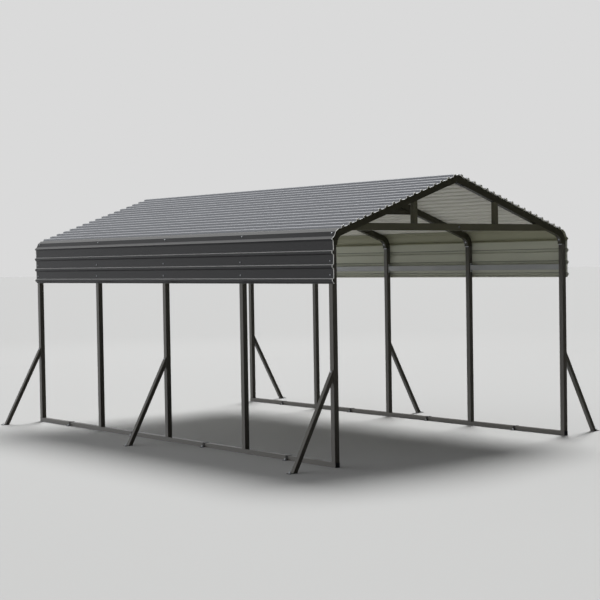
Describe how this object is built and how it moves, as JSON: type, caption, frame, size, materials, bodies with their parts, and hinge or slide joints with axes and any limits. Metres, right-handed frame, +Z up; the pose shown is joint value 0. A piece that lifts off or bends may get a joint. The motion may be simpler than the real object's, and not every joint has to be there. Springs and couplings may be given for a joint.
{
  "type": "carport",
  "caption": "Open steel carport with a pitched ribbed-sheet roof on bent tube frames, short ribbed side skirts, ground rails and outside braces.",
  "frame": {"origin": "on the ground, at the middle of the plan", "axes": "+X across the width, to the right of someone who faces the front gable; +Y along the length, from the front gable to the rear; +Z up"},
  "size_m": [4.8126, 6.11, 3.018],
  "materials": {
    "frame_steel": "dark powder coat",
    "bracket_steel": "black powder coat",
    "roof_sheet_steel": "grey coil coating, light beige on the inside"
  },
  "bodies": {
    "root": {"base_rail_left": "frame_steel", "base_rail_right": "frame_steel", "post_left_1": "frame_steel", "post_left_2": "frame_steel", "post_left_3": "frame_steel", "post_left_4": "frame_steel", "post_left_5": "frame_steel", "post_right_1": "frame_steel", "post_right_2": "frame_steel", "post_right_3": "frame_steel", "post_right_4": "frame_steel", "post_right_5": "frame_steel", "rafter_left_1": "frame_steel", "rafter_left_2": "frame_steel", "rafter_left_3": "frame_steel", "rafter_left_4": "frame_steel", "rafter_left_5": "frame_steel", "rafter_right_1": "frame_steel", "rafter_right_2": "frame_steel", "rafter_right_3": "frame_steel", "rafter_right_4": "frame_steel", "rafter_right_5": "frame_steel", "peak_brackets": "bracket_steel", "front_tie": "frame_steel", "rear_tie": "frame_steel", "front_struts": "frame_steel", "rear_struts": "frame_steel", "collar_ties": "frame_steel", "eave_rail_left": "frame_steel", "eave_rail_right": "frame_steel", "brace_left_1": "frame_steel", "brace_left_3": "frame_steel", "brace_left_5": "frame_steel", "brace_right_1": "frame_steel", "brace_right_3": "frame_steel", "brace_right_5": "frame_steel", "brace_feet": "bracket_steel", "rail_anchors": "bracket_steel", "side_sheet_left": "roof_sheet_steel", "side_sheet_right": "roof_sheet_steel", "eave_sheet_left": "roof_sheet_steel", "eave_sheet_right": "roof_sheet_steel", "roof_sheet_left": "roof_sheet_steel", "roof_sheet_right": "roof_sheet_steel", "ridge_sheet": "roof_sheet_steel"}
  },
  "joints": []
}
